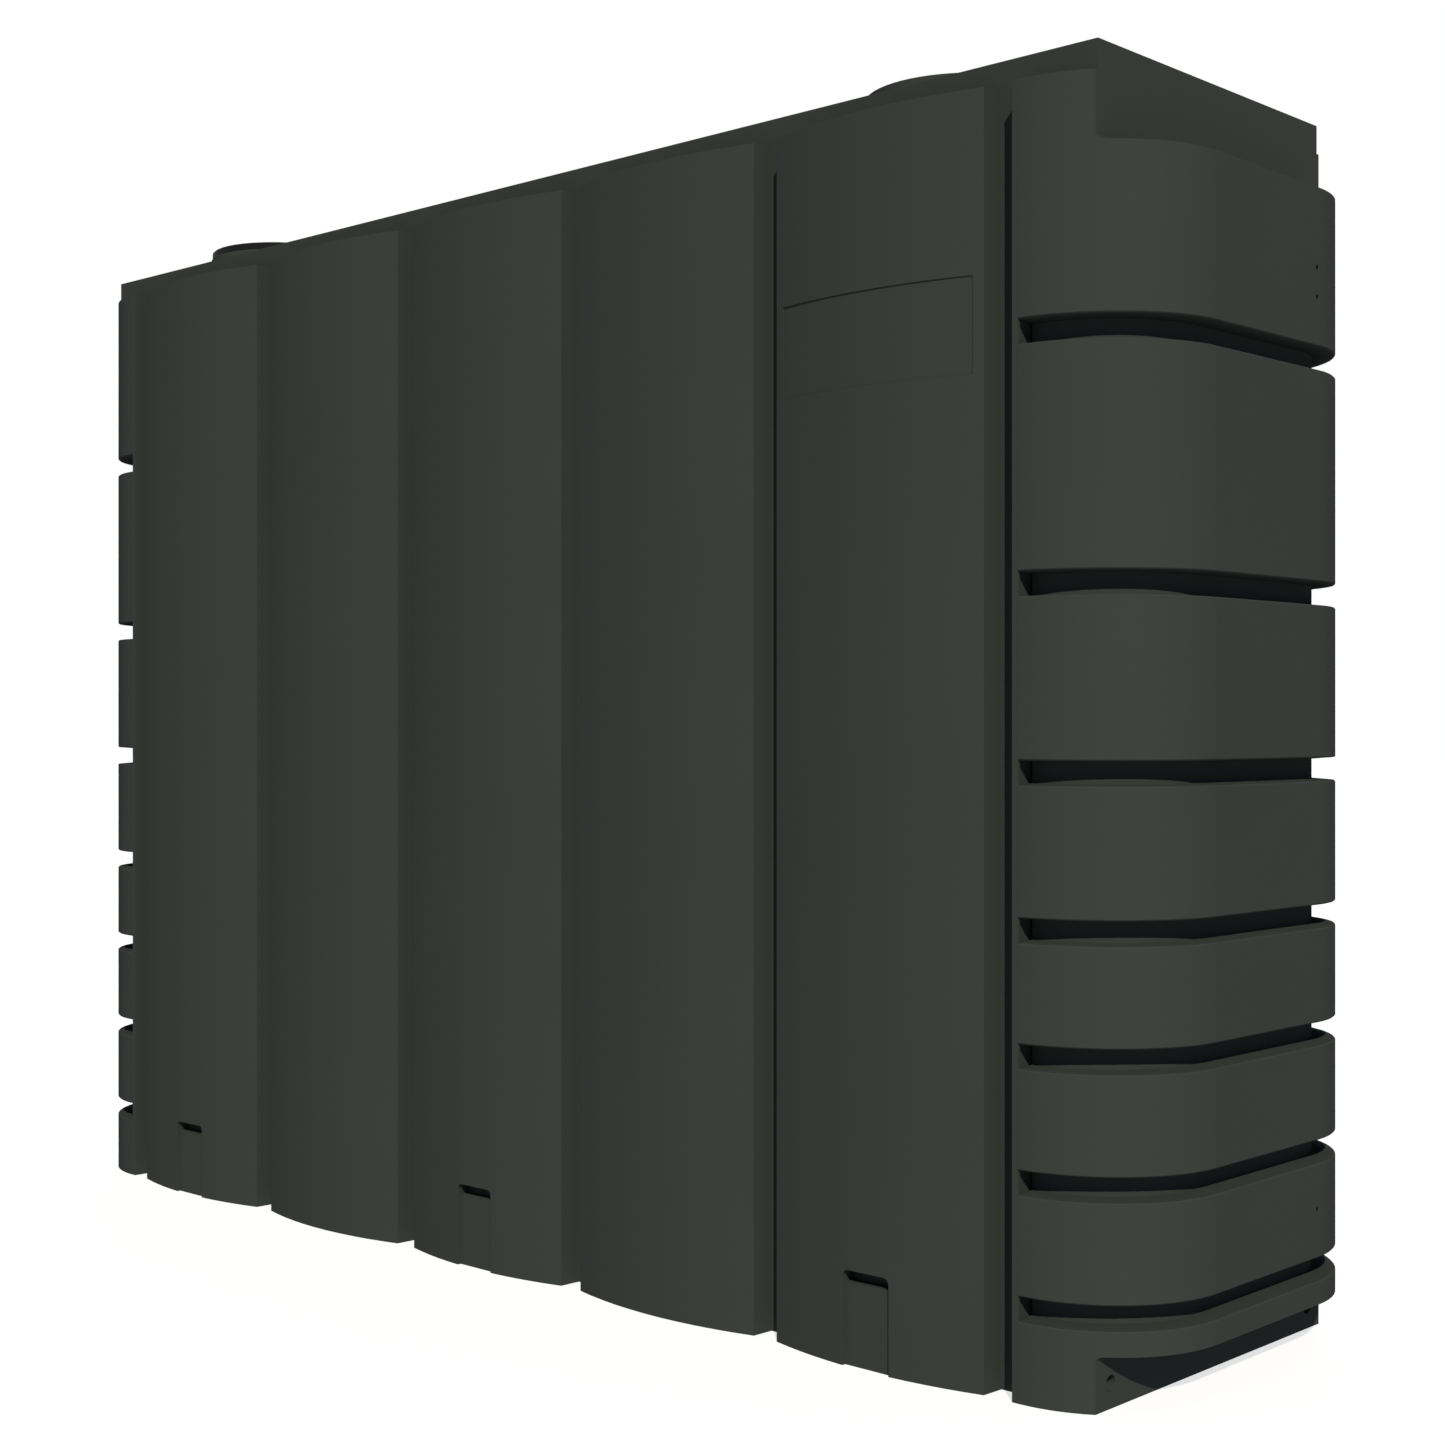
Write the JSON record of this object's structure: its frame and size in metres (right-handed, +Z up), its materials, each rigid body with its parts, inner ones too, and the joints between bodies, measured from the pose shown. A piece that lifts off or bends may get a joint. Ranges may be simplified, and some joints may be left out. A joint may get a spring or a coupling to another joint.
{
  "type": "slimline water tank",
  "caption": "Tall slim rainwater tank, a hollow moulding with bulging upright panels and grooved round-cornered ends, a leaf strainer and a twist-lock lid on its roof.",
  "frame": {"origin": "middle of the flat base, where the tank stands", "axes": "+X along the tank towards the end with the gauge holes, +Y from the front with the outlet flats to the back, +Z up"},
  "size_m": [3.025, 0.8497, 2.241],
  "materials": {
    "tank_plastic": "fine matt mould texture, dark grey-green",
    "fitting_plastic": "semi-matt black moulded plastic",
    "woven_steel": "woven stainless wire",
    "screw_steel": "plain stainless steel",
    "gasket_rubber": "matt black rubber",
    "insert_brass": "dull machined brass"
  },
  "bodies": {
    "tank": {"tank_shell": "tank_plastic", "strainer_basket": "fitting_plastic", "strainer_mesh": "woven_steel", "mesh_ring": "fitting_plastic", "mesh_ring_screws": "screw_steel", "access_ring": "fitting_plastic", "ring_gasket": "gasket_rubber", "access_ring_screws": "screw_steel", "gauge_inserts": "insert_brass"},
    "lid": {"access_lid": "fitting_plastic", "lid_gasket": "gasket_rubber"}
  },
  "joints": [
    {"name": "lid_turn", "type": "hinge", "parent": "tank", "child": "lid", "pos_m": [0.884, 0, 2.22], "axis": [0, 0, 1], "range_deg": [0, 45]}
  ]
}
